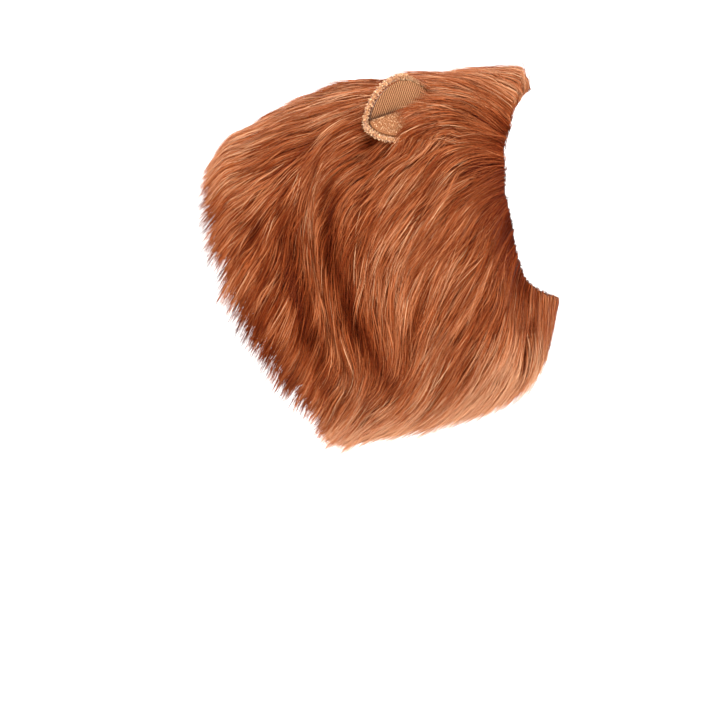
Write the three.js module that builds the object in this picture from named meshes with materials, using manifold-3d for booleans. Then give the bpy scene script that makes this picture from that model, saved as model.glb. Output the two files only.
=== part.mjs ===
// Lion mane hood for a large pet, as worn: a knitted backing tube with long faux fur on it,
// an elastic casing inside the face edge and two cupped plush ears sewn on the crown.
// Millimetres. +X points out of the face opening, +Z is up, and the origin is the point
// inside the hood where the wearer's crown carries it.
import * as THREE from "three";
import { ConvexGeometry } from "three/addons/geometries/ConvexGeometry.js";
import { mergeVertices } from "three/addons/utils/BufferGeometryUtils.js";
import Module from "manifold-3d";

const wasm = await Module();
wasm.setup();

// The hood's form. Its rings hang from the line that runs over the crown and down the nape.
const faceHeight = 203; // face opening, brow to jaw
const faceWidth = 146;
const hemHeight = 290; // shoulder hem, nape to chest
const hemWidth = 246;
const browReach = 60; // how far the brow edge is ahead of the crown point
const topRun = 275; // brow edge to nape hem
const napeDrop = 60; // how far the nape hem is below the crown
const faceSweep = 36; // how far the cheeks of the face edge lie behind its brow and jaw
const jawTongue = 4; // how narrow the part of its lower edge is that reaches forward, from 1
const hemSweep = 42;
const eggShare = 0.1; // how much wider each ring is below than above

// Cloth, elastic and pile.
const backingWall = 2;
const seatGap = 0.3; // between pieces that touch
const casingWidth = 12;
const casingWall = 2.4;
const gatherDepth = 2.2; // ruffles that the elastic draws in the face edge
const gathers = 14;
const creaseDepth = 12; // the fold behind the ears where the hood turns into the cape
const pileDepth = 29; // thickness of the combed-down fur over the cloth
const lockRelief = 4.2; // how far locks stand out of the grooves beside them
const tierDrop = 9; // how much the fur steps down past the tips of a row of locks
const tipLength = 30; // hem locks, past the cloth
const tipWall = 3;
const browLip = 19; // how far the fur reaches ahead of the face edge
const cheekLip = 5;
const jawLip = 8;

// Ears.
const earLength = 86; // root on the cloth to tip, along the ear
const earWidth = 68;
const earRise = 23; // height of the ear's bend over the cloth
const earBackWall = 3;
const earLiningWall = 1.6;
const earRimRadius = 3.6;
const earRimGap = 1.2; // between the plush edge and the ear's layers, at its facets' middles
const earCup = 17; // how far the upper edge stands out over the ear's crease
const earLip = 2; // how far the lower edge stands out over it
const earPinch = 4; // depth of the crease itself
const earPlace = { along: 0.27, degrees: 37 };
const earSweep = { back: 0.93, aside: 0.35, down: 0.36 }; // the way in which an ear points
const pocketClear = 1; // between an ear and the fur round it

// How fine the facets are.
const columns = 56; // round the hood, two for each lock
const clothRings = 11;
const casingRow = 0.1; // share of the hood that the cloth's first row of facets takes
const furRings = 27;
const earSteps = 8;
const rimSides = 6;
const rimSteps = 24;

// Rings from the face edge to the hem. top and drop are shares of topRun and napeDrop, tilt is
// in degrees from upright, and tall, wide and swept run from 0, the face edge's, to 1, the hem's.
const RINGS = [
  { along: 0.0, top: 0.0, drop: -0.03, tilt: 9.9, tall: 0.0, wide: 0.0, swept: 0.0 },
  { along: 0.1, top: 0.09, drop: -0.11, tilt: 11.6, tall: 0.38, wide: 0.2, swept: 0.1 },
  { along: 0.25, top: 0.236, drop: -0.03, tilt: 14.6, tall: 0.72, wide: 0.42, swept: 0.2 },
  { along: 0.45, top: 0.436, drop: 0.02, tilt: 17.4, tall: 1.1, wide: 0.6, swept: 0.35 },
  { along: 0.6, top: 0.618, drop: 0.19, tilt: 20.0, tall: 1.22, wide: 0.7, swept: 0.5 },
  { along: 0.8, top: 0.818, drop: 0.54, tilt: 22.8, tall: 1.15, wide: 0.84, swept: 0.75 },
  { along: 1.0, top: 1.0, drop: 0.92, tilt: 25.0, tall: 1.0, wide: 1.0, swept: 1.0 },
];

// Pile thickness as a share of pileDepth, on the top, sides and underside of the hood.
const PILE = { top: 0.8, side: 1.0, under: 1.0 };

// What is left of that at the face edge, from which it grows to the full by growRun, and at the hem.
const EDGE_PILE = { brow: 1.0, cheek: 0.5, jaw: 0.5, hem: 0.72 };
const growRun = 0.28;

// Rows of lock tips: where they lie along the hood and how far single locks stray from it.
const TIERS = [
  { along: 0.3, stray: 0.07 },
  { along: 0.56, stray: 0.08 },
  { along: 0.8, stray: 0.07 },
];

// Half widths of an ear from root to tip, as shares of half its width.
const EAR_OUTLINE = [
  { at: 0.0, wide: 0.32 },
  { at: 0.2, wide: 0.5 },
  { at: 0.45, wide: 0.8 },
  { at: 0.7, wide: 0.95 },
  { at: 1.0, wide: 1.0 },
];
const earTaper = 0.72; // how much of an ear's length its rounded tip takes
const earCrease = 0.38; // where the crease lies, from -1 at the lower edge to 1

const COLOURS = {
  fur: 0xa85a37,
  backing: 0xa9805c,
  casing: 0x7a4a30,
  earPlush: 0xd3a172,
  earLining: 0xa36a46,
};

const mix = (from, to, share) => from + (to - from) * share;
const bell = (x, width) => Math.exp(-((x / width) ** 2));
const radians = THREE.MathUtils.degToRad;

// A number between 0 and 1 that depends on two whole numbers alone.
function scatter(a, b) {
  const wave = Math.sin(a * 127.1 + b * 311.7) * 43758.5453;
  return wave - Math.floor(wave);
}

// The value of one column of a table at a place between its rows, on a smooth curve.
function fromTable(rows, key, column, place) {
  const last = rows.length - 1;
  let i = 0;
  while (i < last - 1 && rows[i + 1][key] < place) i += 1;
  const at = (n) => rows[Math.min(Math.max(n, 0), last)];
  const slope = (n) =>
    (at(n + 1)[column] - at(n - 1)[column]) / (at(n + 1)[key] - at(n - 1)[key]);
  const span = rows[i + 1][key] - rows[i][key];
  const t = (place - rows[i][key]) / span;
  return (
    rows[i][column] * (1 + 2 * t) * (1 - t) ** 2 +
    rows[i + 1][column] * t * t * (3 - 2 * t) +
    slope(i) * span * t * (1 - t) ** 2 -
    slope(i + 1) * span * t * t * (1 - t)
  );
}

// A point of the hood's inner face. angle is 0 on the crown line and pi under the chin.
function hoodPoint(along, angle) {
  const ring = (column) => fromTable(RINGS, "along", column, along);
  const tilt = radians(ring("tilt"));
  const halfHeight = mix(faceHeight, hemHeight, ring("tall")) / 2;
  const halfWidth = mix(faceWidth, hemWidth, ring("wide")) / 2;
  const side = Math.sin(angle);
  const faceCurve = 1 - (1 - side * side) ** (Math.cos(angle) < 0 ? jawTongue : 1);
  const sweep = mix(faceSweep * faceCurve, hemSweep * side * side, ring("swept"));
  const down = halfHeight * (1 - Math.cos(angle));
  const crease = creaseDepth * bell(along - creaseAt(angle), 0.09);
  const drawnIn = 1 - THREE.MathUtils.smoothstep(along, casingRow, 0.3);
  const gather = gatherDepth * Math.sin(gathers * angle) * drawnIn;
  const inward = crease * side * side - gather;
  const squeeze = 1 - inward / halfWidth;
  return new THREE.Vector3(
    browReach - topRun * ring("top") + Math.sin(tilt) * down - sweep,
    halfWidth * squeeze * side * (1 - eggShare * Math.cos(angle)),
    -napeDrop * ring("drop") - Math.cos(tilt) * down,
  );
}

// The way from the face to the hem along the cloth, and the cloth's outward normal.
function hoodFrame(along, angle) {
  const step = 1e-3;
  const back = Math.max(along - step, 0);
  const on = Math.min(along + step, 1);
  const downstream = hoodPoint(on, angle).sub(hoodPoint(back, angle)).normalize();
  const round = hoodPoint(along, angle + step).sub(hoodPoint(along, angle - step));
  const outward = new THREE.Vector3().crossVectors(round, downstream).normalize();
  return { downstream, outward };
}

// Columns follow the fall of the hair: the further behind the casing, the nearer to the underside.
function fallAngle(along, column) {
  const start = (2 * Math.PI * column) / columns;
  const fall = 0.58 * Math.max(along - casingRow, 0);
  return start + fall * Math.sin(start);
}

const isRidge = (column) => column % 2 === 1;
const lockOf = (column) => Math.floor(column / 2);

// A value that goes from one over the crown through one at the sides to one underneath.
function around(angle, over, side, under) {
  const upper = Math.max(Math.cos(angle), 0) ** 2;
  const lower = Math.max(-Math.cos(angle), 0) ** 2;
  return side + (over - side) * upper + (under - side) * lower;
}

// The fold behind the ears: how far along it lies at each side of the hood.
const creaseAt = (angle) => 0.76 - 0.14 * Math.cos(angle);

// How thick the pile is at a point: deeper on ridges, and stepping down at lock tips.
function pileAt(along, column) {
  const angle = fallAngle(along, column);
  const edge = around(angle, EDGE_PILE.brow, EDGE_PILE.cheek, EDGE_PILE.jaw);
  const grownIn = mix(edge, 1, THREE.MathUtils.smoothstep(along, 0, growRun));
  const thinned = mix(1, EDGE_PILE.hem, THREE.MathUtils.smoothstep(along, 0.7, 1));
  const share = around(angle, PILE.top, PILE.side, PILE.under) * grownIn * thinned;
  let start = 0;
  let end = 1.12;
  TIERS.forEach((tier, row) => {
    const tip = tier.along + tier.stray * (2 * scatter(lockOf(column), row) - 1);
    if (tip <= along) start = tip;
    else end = Math.min(end, tip);
  });
  const run = (along - start) / (end - start);
  const ridge = isRidge(column) ? lockRelief * (1 - 0.6 * run ** 3) : -lockRelief;
  const fold = 0.5 * creaseDepth * bell(along - creaseAt(angle), 0.06) * Math.sin(angle) ** 2;
  return pileDepth * share + (ridge + tierDrop * (run - 0.5)) * grownIn - fold;
}

// A closed mesh from rings of points, each ring joined to the next and the last to the first.
function ringsToGeometry(rings) {
  const count = rings[0].length;
  const positions = rings.flat().flatMap((p) => [p.x, p.y, p.z]);
  const index = [];
  rings.forEach((ring, i) => {
    const next = (i + 1) % rings.length;
    for (let j = 0; j < count; j += 1) {
      const k = (j + 1) % count;
      const [a, b] = [i * count + j, i * count + k];
      const [c, d] = [next * count + j, next * count + k];
      index.push(a, b, d, a, d, c);
    }
  });
  return geometryFrom(positions, index);
}

function geometryFrom(positions, index) {
  const geometry = new THREE.BufferGeometry();
  geometry.setAttribute("position", new THREE.Float32BufferAttribute(positions, 3));
  geometry.setIndex(index);
  return geometry;
}

// One ring of points at a height over the cloth's inner face.
function clothRing(along, height) {
  return Array.from({ length: columns }, (_, column) => {
    const angle = fallAngle(along, column);
    const { outward } = hoodFrame(along, angle);
    return hoodPoint(along, angle).addScaledVector(outward, height);
  });
}

const clothStations = [0];
for (let i = 0; i < clothRings; i += 1) clothStations.push(mix(casingRow, 1, i / (clothRings - 1)));

function backingGeometry() {
  const inner = clothStations.map((along) => clothRing(along, 0)).reverse();
  const outer = clothStations.map((along) => clothRing(along, backingWall));
  return ringsToGeometry([...outer, ...inner]);
}

// The elastic casing lies flat on the first row of the cloth's facets, inside the face edge.
function casingGeometry() {
  const edge = clothRing(clothStations[0], 0);
  const next = clothRing(clothStations[1], 0);
  const ringAt = (distance, depth) =>
    edge.map((point, column) => {
      const way = next[column].clone().sub(point);
      const length = way.length();
      const start = hoodFrame(clothStations[0], fallAngle(clothStations[0], column)).outward;
      const end = hoodFrame(clothStations[1], fallAngle(clothStations[1], column)).outward;
      const outward = start.clone().lerp(end, distance / length).normalize();
      return point.clone().addScaledVector(way, distance / length).addScaledVector(outward, -depth);
    });
  const inset = 1;
  const [near, far] = [seatGap, seatGap + casingWall];
  return ringsToGeometry([
    ringAt(inset, far),
    ringAt(inset + casingWidth, far),
    ringAt(inset + casingWidth, near),
    ringAt(inset, near),
  ]);
}

// How far the fur leans ahead of the face edge: most in the forelock and under the jaw.
function lipReach(column) {
  const cosine = Math.cos(fallAngle(0, column));
  const upper = Math.max(cosine, 0) ** 3;
  const lower = Math.max(-cosine, 0) ** 2;
  const lock = isRidge(column) ? 1.08 + 0.2 * scatter(lockOf(column), 7) : 0.8;
  return lock * (cheekLip + (browLip - cheekLip) * upper + (jawLip - cheekLip) * lower);
}

// The rounded lip of fur round the face, in three rings from the cloth to the fur's top.
function lipRings() {
  const profile = [
    { ahead: 0.45, up: 0.1 },
    { ahead: 1.0, up: 0.5 },
    { ahead: 0.75, up: 0.9 },
  ];
  return profile.map(({ ahead, up }) =>
    Array.from({ length: columns }, (_, column) => {
      const angle = fallAngle(0, column);
      const { downstream, outward } = hoodFrame(0, angle);
      const lift = backingWall + seatGap + up * pileAt(0, column);
      return hoodPoint(0, angle)
        .addScaledVector(downstream, -ahead * lipReach(column))
        .addScaledVector(outward, lift);
    }),
  );
}

// Rings past the hem. Ridges run on into hanging tips and grooves end at the cloth.
function tipRing(share, height) {
  return Array.from({ length: columns }, (_, column) => {
    const angle = fallAngle(1, column);
    const { downstream, outward } = hoodFrame(1, angle);
    const lock = isRidge(column) ? 0.75 + 0.5 * scatter(lockOf(column), 11) : 0.3;
    const reach = share * tipLength * lock;
    const hang = new THREE.Vector3(0, 0, -0.55 * share * reach);
    return hoodPoint(1, angle)
      .addScaledVector(downstream, reach)
      .addScaledVector(outward, height(column))
      .add(hang);
  });
}

function furGeometry() {
  const foot = backingWall + seatGap;
  const inner = clothStations.map((along) => clothRing(along, foot));
  const outer = Array.from({ length: furRings + 1 }, (_, i) => 1 - i / furRings).map((along) =>
    Array.from({ length: columns }, (_, column) => {
      const angle = fallAngle(along, column);
      const { outward } = hoodFrame(along, angle);
      return hoodPoint(along, angle).addScaledVector(outward, foot + pileAt(along, column));
    }),
  );
  const middle = (column) => foot + 0.4 * pileAt(1, column);
  const tips = [
    tipRing(0.45, (column) => foot + 0.18 * pileAt(1, column)),
    tipRing(1, (column) => middle(column) - tipWall / 2),
    tipRing(1, (column) => middle(column) + tipWall / 2),
    tipRing(0.5, (column) => foot + 0.8 * pileAt(1, column)),
  ];
  return ringsToGeometry([...inner, ...tips, ...outer, ...lipRings().reverse()]);
}

// An ear's own directions at its root: side is -1 for the ear at -Y and 1 for the other.
function earFrame(side) {
  const angle = side * radians(earPlace.degrees);
  const { outward } = hoodFrame(earPlace.along, angle);
  const foot = backingWall + 2 * seatGap;
  const root = hoodPoint(earPlace.along, angle).addScaledVector(outward, foot);
  const back = new THREE.Vector3(-earSweep.back, earSweep.aside * side, -earSweep.down).normalize();
  const across = new THREE.Vector3().crossVectors(back, outward).normalize();
  if (across.z < 0) across.negate();
  return { root, outward, back, across };
}

// A point of an ear's middle surface. at runs from root to tip, and over from -1, the lower
// edge, to 1. The spine leaves the cloth along its normal and bends back to lie on the fur.
function earPoint(side, at, over) {
  const { root, outward, back, across } = earFrame(side);
  const rounded = at * (1 - earTaper + earTaper * Math.sqrt(1 - 0.96 * over * over));
  const halfWidth = (earWidth / 2) * fromTable(EAR_OUTLINE, "at", "wide", at);
  const bent = 1 - (1 - rounded) ** 3;
  const out = earRise * bent;
  const away = Math.max(rounded - 0.12, 0) * earLength;
  const opening = THREE.MathUtils.smoothstep(at, 0, 0.6);
  const above = Math.max(over - earCrease, 0) / (1 - earCrease);
  const below = Math.max(earCrease - over, 0) / (1 + earCrease);
  const cup = mix(0.4, 1, opening) * (earCup * above ** 1.5 + earLip * below ** 1.5);
  const pinch = earPinch * opening * bell(over - earCrease, 0.2);
  return root
    .clone()
    .addScaledVector(outward, out + (cup - pinch) * bent)
    .addScaledVector(back, away)
    .addScaledVector(across, halfWidth * over);
}

function earNormal(side, at, over) {
  const step = 1e-3;
  const [left, right] = [Math.max(over - step, -1), Math.min(over + step, 1)];
  const [back, on] = [Math.max(at - step, 0), Math.min(at + step, 1)];
  const across = earPoint(side, at, right).sub(earPoint(side, at, left));
  const length = earPoint(side, on, over).sub(earPoint(side, back, over));
  const normal = new THREE.Vector3().crossVectors(across, length).normalize();
  return side < 0 ? normal : normal.negate();
}

// From -1 to 1 in steps that are shorter at both ends, where an ear's tip curves most.
const acrossEar = (share) => Math.sin(Math.PI * (share - 0.5));

// A closed shell between two heights over an ear's middle surface.
function earShellGeometry(side, low, high) {
  const steps = Array.from({ length: earSteps + 1 }, (_, i) => i / earSteps);
  const sheet = (height) =>
    steps.map((at) =>
      steps.map((share) => {
        const over = acrossEar(share);
        return earPoint(side, at, over).addScaledVector(earNormal(side, at, over), height);
      }),
    );
  const [bottom, top] = [sheet(low), sheet(high)];
  const rings = steps.map((_, i) => [...bottom[i], ...top[i].reverse()]);
  const count = rings[0].length;
  const positions = rings.flat().flatMap((p) => [p.x, p.y, p.z]);
  const index = [];
  for (let i = 0; i < earSteps; i += 1)
    for (let j = 0; j < count; j += 1) {
      const k = (j + 1) % count;
      const [a, b] = [i * count + j, i * count + k];
      if (j <= earSteps) index.push(a, b, b + count, a, b + count, a + count);
      else index.push(a, b, a + count, b, b + count, a + count);
    }
  [0, earSteps].forEach((i) => {
    for (let j = 0; j < earSteps; j += 1) {
      const [a, b] = [i * count + j, i * count + j + 1];
      const [d, c] = [i * count + count - 1 - j, i * count + count - 2 - j];
      if (i === 0) index.push(a, c, b, a, d, c);
      else index.push(a, b, c, a, c, d);
    }
  });
  return facingOut(geometryFrom(positions, index));
}

// The plush edge: a bead that runs round the ear's free edge from one side of the root to the
// other, just outside the layers.
function earRimGeometry(side) {
  const rootStart = 0.3;
  const edge = (t) => {
    if (t < 1) return [mix(rootStart, 1, t), -1];
    if (t < 2) return [1, acrossEar(t - 1)];
    return [mix(1, rootStart, t - 2), 1];
  };
  const centre = earPoint(side, 0.6, 0);
  const points = Array.from({ length: rimSteps + 1 }, (_, i) => {
    const [at, over] = edge((3 * i) / rimSteps);
    const point = earPoint(side, at, over);
    const normal = earNormal(side, at, over);
    const step = 0.03;
    const before = earPoint(side, ...edge(Math.max((3 * i) / rimSteps - step, 0)));
    const after = earPoint(side, ...edge(Math.min((3 * i) / rimSteps + step, 3)));
    const outward = new THREE.Vector3().crossVectors(after.sub(before), normal).normalize();
    if (outward.dot(point.clone().sub(centre)) < 0) outward.negate();
    return point.addScaledVector(outward, earRimRadius + earRimGap);
  });
  const section = new THREE.Shape();
  for (let i = 0; i < rimSides; i += 1) {
    const turn = (2 * Math.PI * i) / rimSides;
    const [x, y] = [earRimRadius * Math.cos(turn), earRimRadius * Math.sin(turn)];
    if (i) section.lineTo(x, y);
    else section.moveTo(x, y);
  }
  section.closePath();
  const extrudePath = new THREE.CatmullRomCurve3(points);
  const geometry = new THREE.ExtrudeGeometry(section, { steps: 1.5 * rimSteps, extrudePath });
  return facingOut(geometry);
}

const solidOf = (geometry) => {
  const bare = geometry.clone();
  bare.deleteAttribute("normal");
  bare.deleteAttribute("uv");
  const merged = mergeVertices(bare, 1e-4);
  return new wasm.Manifold(
    new wasm.Mesh({
      numProp: 3,
      vertProperties: new Float32Array(merged.attributes.position.array),
      triVerts: new Uint32Array(merged.index.array),
    }),
  );
};

function geometryOf(solid) {
  const { vertProperties, triVerts } = solid.getMesh();
  return geometryFrom(Array.from(vertProperties), Array.from(triVerts));
}

// The same geometry with its faces pointing out.
function facingOut(geometry) {
  const solid = solidOf(geometry);
  if (solid.volume() > 0) return geometry;
  const index = geometry.index ?? mergeVertices(geometry).index;
  const turned = Array.from(index.array);
  for (let i = 0; i < turned.length; i += 3)
    [turned[i + 1], turned[i + 2]] = [turned[i + 2], turned[i + 1]];
  const flipped = geometry.clone();
  flipped.setIndex(turned);
  return flipped;
}

// A solid with every facet moved out by the pocket clearance.
function grown(geometry) {
  const bare = geometry.clone();
  bare.deleteAttribute("normal");
  bare.deleteAttribute("uv");
  const merged = mergeVertices(bare, 1e-4);
  merged.computeVertexNormals();
  const { position, normal } = merged.attributes;
  for (let i = 0; i < position.count; i += 1) {
    const way = new THREE.Vector3().fromBufferAttribute(normal, i);
    const point = new THREE.Vector3().fromBufferAttribute(position, i);
    position.setXYZ(i, ...point.addScaledVector(way, pocketClear));
  }
  merged.deleteAttribute("normal");
  return solidOf(merged);
}

function earParts(side) {
  return {
    back: earShellGeometry(side, -earBackWall, 0),
    lining: earShellGeometry(side, seatGap, seatGap + earLiningWall),
    rim: earRimGeometry(side),
  };
}

// A convex hollow that an ear sits in, its cup left free.
function earPocket(ear) {
  const points = Object.values(ear).flatMap((part) => {
    const { position } = part.attributes;
    return Array.from({ length: position.count }, (_, i) =>
      new THREE.Vector3().fromBufferAttribute(position, i),
    );
  });
  return grown(facingOut(new ConvexGeometry(points)));
}

// The fur with a hollow for each ear.
function furAround(ears) {
  let fur = solidOf(facingOut(furGeometry()));
  for (const ear of ears) fur = fur.subtract(earPocket(ear));
  const bodies = fur.decompose().sort((a, b) => b.volume() - a.volume());
  return geometryOf(bodies[0]);
}

const finish = (color, roughness) =>
  new THREE.MeshStandardMaterial({ color, roughness, metalness: 0 });

function piece(name, geometry, material) {
  const mesh = new THREE.Mesh(geometry, material);
  mesh.name = name;
  return mesh;
}

const plush = finish(COLOURS.earPlush, 0.95);
const lining = finish(COLOURS.earLining, 0.9);
const ears = { right: earParts(-1), left: earParts(1) };
const mane = new THREE.Group();
mane.add(
  piece("backing_hood", facingOut(backingGeometry()), finish(COLOURS.backing, 0.95)),
  piece("face_elastic_casing", facingOut(casingGeometry()), finish(COLOURS.casing, 0.9)),
  piece("mane_fur", furAround([ears.right, ears.left]), finish(COLOURS.fur, 0.7)),
);
for (const [name, ear] of Object.entries(ears))
  mane.add(
    piece(`ear_back_${name}`, ear.back, plush),
    piece(`ear_lining_${name}`, ear.lining, lining),
    piece(`ear_rim_${name}`, ear.rim, plush),
  );

export default mane;
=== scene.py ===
import math

import bpy
import numpy as np
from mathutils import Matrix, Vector
from mathutils.bvhtree import BVHTree
from mathutils.kdtree import KDTree


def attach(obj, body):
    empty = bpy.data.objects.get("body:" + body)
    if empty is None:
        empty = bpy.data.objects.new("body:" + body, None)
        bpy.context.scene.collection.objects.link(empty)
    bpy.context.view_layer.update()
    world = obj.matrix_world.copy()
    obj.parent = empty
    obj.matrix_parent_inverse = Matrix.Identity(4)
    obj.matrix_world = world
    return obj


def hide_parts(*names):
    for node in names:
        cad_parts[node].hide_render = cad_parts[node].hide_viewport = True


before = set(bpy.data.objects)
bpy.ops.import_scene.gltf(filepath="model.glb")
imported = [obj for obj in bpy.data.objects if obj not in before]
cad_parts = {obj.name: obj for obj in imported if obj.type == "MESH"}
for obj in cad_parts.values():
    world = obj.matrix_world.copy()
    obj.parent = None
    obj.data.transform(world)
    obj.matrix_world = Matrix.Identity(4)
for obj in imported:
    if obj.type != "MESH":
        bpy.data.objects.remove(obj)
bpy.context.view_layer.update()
SEED = 11
random = np.random.default_rng(SEED)

# The hood's form in millimetres, with the names and sizes that the solids have. MM turns them into
# the metres of the meshes.
MM = 0.001
FACE_HEIGHT = 203
FACE_WIDTH = 146
HEM_HEIGHT = 290
HEM_WIDTH = 246
BROW_REACH = 60
TOP_RUN = 275
NAPE_DROP = 60
FACE_SWEEP = 36
JAW_TONGUE = 4
HEM_SWEEP = 42
EGG_SHARE = 0.1
BACKING_WALL = 2
SEAT_GAP = 0.3
CASING_ROW = 0.1
CASING_WIDTH = 12
CASING_WALL = 2.4
GATHER_DEPTH = 2.2
GATHERS = 14
GATHERS_END = 0.3
CREASE_DEPTH = 12
CREASE_ALONG = 0.76
CREASE_SHIFT = 0.14
CREASE_SPREAD = 0.09
PILE_DEPTH = 29
GROW_RUN = 0.28
HEM_THINS_FROM = 0.7
FOLD_SHARE = 0.5
FOLD_SPREAD = 0.06

EAR_LENGTH = 86
EAR_WIDTH = 68
EAR_RISE = 23
EAR_BACK_WALL = 3
EAR_LINING_WALL = 1.6
EAR_RIM_RADIUS = 3.6
EAR_RIM_GAP = 1.2
EAR_CUP = 17
EAR_LIP = 2
EAR_PINCH = 4
EAR_TAPER = 0.72
EAR_CREASE = 0.38
EAR_ALONG = 0.27
EAR_DEGREES = 37
EAR_SWEEP = {"back": 0.93, "aside": 0.35, "down": 0.36}


def table(columns, *rows):
    """Rows of numbers as dictionaries by the names of their columns."""
    return [dict(zip(columns.split(), row)) for row in rows]


# Rings from the face edge to the hem: shares of the sizes above, with tilt in degrees.
RINGS = table(
    "along top drop tilt tall wide swept",
    (0.0, 0.0, -0.03, 9.9, 0.0, 0.0, 0.0),
    (0.1, 0.09, -0.11, 11.6, 0.38, 0.2, 0.1),
    (0.25, 0.236, -0.03, 14.6, 0.72, 0.42, 0.2),
    (0.45, 0.436, 0.02, 17.4, 1.1, 0.6, 0.35),
    (0.6, 0.618, 0.19, 20.0, 1.22, 0.7, 0.5),
    (0.8, 0.818, 0.54, 22.8, 1.15, 0.84, 0.75),
    (1.0, 1.0, 0.92, 25.0, 1.0, 1.0, 1.0),
)
PILE = {"top": 0.8, "side": 1.0, "under": 1.0}
EDGE_PILE = {"brow": 1.0, "cheek": 0.5, "jaw": 0.5, "hem": 0.72}
EAR_OUTLINE = table("at wide", (0.0, 0.32), (0.2, 0.5), (0.45, 0.8), (0.7, 0.95), (1.0, 1.0))
# Where the hair lies over an ear's base: at a height z in mm it reaches back to x.
EAR_COVER = table("z x", (-50, -62), (-30, -47), (-16, -53), (3, -19), (18, -42), (40, -50))
# How the hair lies, seen from the side: at x, z in mm it runs back and leans down by some degrees
# (90 is straight down, below 0 it rises), and tone is how light it is from 0 to 1.
FLOW = table(
    "x z lean tone",
    (65, 30, -30, 0.64), (40, 30, -15, 0.62), (10, 24, 0, 0.52), (-25, 18, 0, 0.52),
    (-75, 16, 10, 0.54), (-115, 10, 18, 0.56), (-150, 2, 28, 0.52), (-205, -30, 15, 0.56),
    (-240, -55, 22, 0.60), (58, 4, -66, 0.66), (32, 6, -50, 0.58), (6, 8, -22, 0.50),
    (-22, 5, 4, 0.50), (-145, -18, 30, 0.50), (-175, -22, 28, 0.50), (47, -18, -60, 0.42),
    (30, -24, -34, 0.44), (6, -24, 22, 0.48), (-20, -24, 38, 0.50), (-48, -24, 32, 0.50),
    (-95, -30, 40, 0.44), (44, -42, -30, 0.30), (30, -50, 32, 0.42), (4, -54, 28, 0.46),
    (-22, -54, 38, 0.50), (-60, -54, 40, 0.46), (-98, -54, 45, 0.40), (-122, -54, 46, 0.46),
    (-148, -54, 52, 0.50), (-185, -54, 38, 0.48), (-220, -54, 26, 0.52), (42, -70, 10, 0.26),
    (28, -82, 40, 0.40), (0, -84, 42, 0.48), (-45, -84, 48, 0.52), (-90, -84, 48, 0.46),
    (-122, -84, 48, 0.42), (-146, -84, 58, 0.50), (-172, -84, 46, 0.46), (-225, -88, 40, 0.50),
    (44, -100, 35, 0.26), (20, -112, 44, 0.44), (-32, -112, 48, 0.52), (-70, -114, 56, 0.50),
    (-118, -114, 60, 0.38), (-145, -114, 74, 0.50), (-170, -114, 56, 0.42), (-222, -120, 45, 0.50),
    (48, -130, 45, 0.28), (30, -142, 48, 0.42), (-2, -142, 44, 0.50), (-45, -144, 51, 0.54),
    (-92, -142, 64, 0.48), (-118, -144, 94, 0.32), (-147, -142, 92, 0.50), (-170, -144, 70, 0.36),
    (-205, -148, 47, 0.46), (54, -172, 62, 0.34), (28, -172, 50, 0.46), (-10, -172, 50, 0.52),
    (-50, -172, 62, 0.54), (-78, -172, 76, 0.48), (-120, -174, 102, 0.32), (-146, -172, 80, 0.48),
    (-172, -174, 56, 0.38), (-210, -178, 48, 0.44), (60, -202, 66, 0.42), (30, -202, 50, 0.50),
    (0, -202, 50, 0.54), (-32, -202, 65, 0.54), (-62, -204, 80, 0.48), (-92, -202, 90, 0.42),
    (-118, -204, 98, 0.36), (-142, -206, 74, 0.46), (-178, -206, 56, 0.36), (-215, -206, 48, 0.44),
    (90, -215, 92, 0.56), (72, -232, 95, 0.50), (46, -232, 66, 0.50), (18, -232, 56, 0.56),
    (-32, -232, 66, 0.54), (-66, -234, 94, 0.42), (-92, -232, 112, 0.30), (-122, -234, 92, 0.46),
    (-144, -234, 58, 0.34), (-182, -238, 48, 0.38), (96, -250, 76, 0.66), (76, -264, 60, 0.66),
    (45, -262, 56, 0.62), (12, -262, 54, 0.58), (-28, -264, 58, 0.52), (-68, -264, 60, 0.32),
    (-95, -262, 76, 0.46), (-130, -264, 52, 0.32), (-168, -268, 48, 0.34), (72, -292, 47, 0.74),
    (36, -292, 46, 0.66), (0, -292, 52, 0.60), (-38, -294, 58, 0.50), (-70, -294, 47, 0.32),
    (-98, -292, 48, 0.44), (-140, -294, 45, 0.30), (30, -318, 38, 0.74), (-2, -320, 42, 0.66),
    (-42, -322, 47, 0.60), (-72, -324, 48, 0.50), (-102, -322, 58, 0.46), (-128, -322, 72, 0.42),
    (-100, -346, 60, 0.55), (-60, -342, 45, 0.66),
)
FLOW_REACH = 17  # mm over which rows blend

# Valleys between locks, seen from the side: lines from one place to another in mm, with how wide
# and how deep each is. Hair sinks into them, and its tone is darkened there as painted shade.
VALLEYS = table(
    "x z to_x to_z wide deep",
    (-169, -112, -156, -172, 7, 0.5), (-156, -172, -143, -232, 9, 0.9),
    (-143, -232, -118, -300, 9, 0.6), (-125, -92, -127, -148, 7, 0.8),
    (-127, -148, -104, -206, 6, 0.8), (-104, -206, -66, -282, 8, 0.8),
    (-205, -196, -172, -256, 7, 0.5), (-172, -256, -146, -296, 7, 0.6),
    (-196, -120, -184, -180, 6, 0.35), (-82, -44, -92, -74, 7, 0.6),
    (24, -205, 2, -262, 5, 0.4), (-30, -170, -52, -236, 5, 0.35),
    (74, -222, 66, -262, 4, 0.5), (47, -30, 50, -140, 8, 0.6),
    (50, -140, 60, -186, 9, 0.6),
)
# How far hair sinks in a valley as a share of the pile, and how much its tone is darkened there as painted
# shade.
VALLEY_SINK = 0.3
VALLEY_SHADE = 0.36
# At which share of the pile the two tables above are read for the way that hair lies.
FLOW_HEIGHT = 0.7
# Past the hem the hair gets thinner over a run in mm, and hangs down by a share of that run. None
# is cut shorter there than a share of its own length.
HANG_RUN = 36
HANG_THINS = 0.45
HANG_DROPS = 0.35
SHORTEST = 0.12

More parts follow.
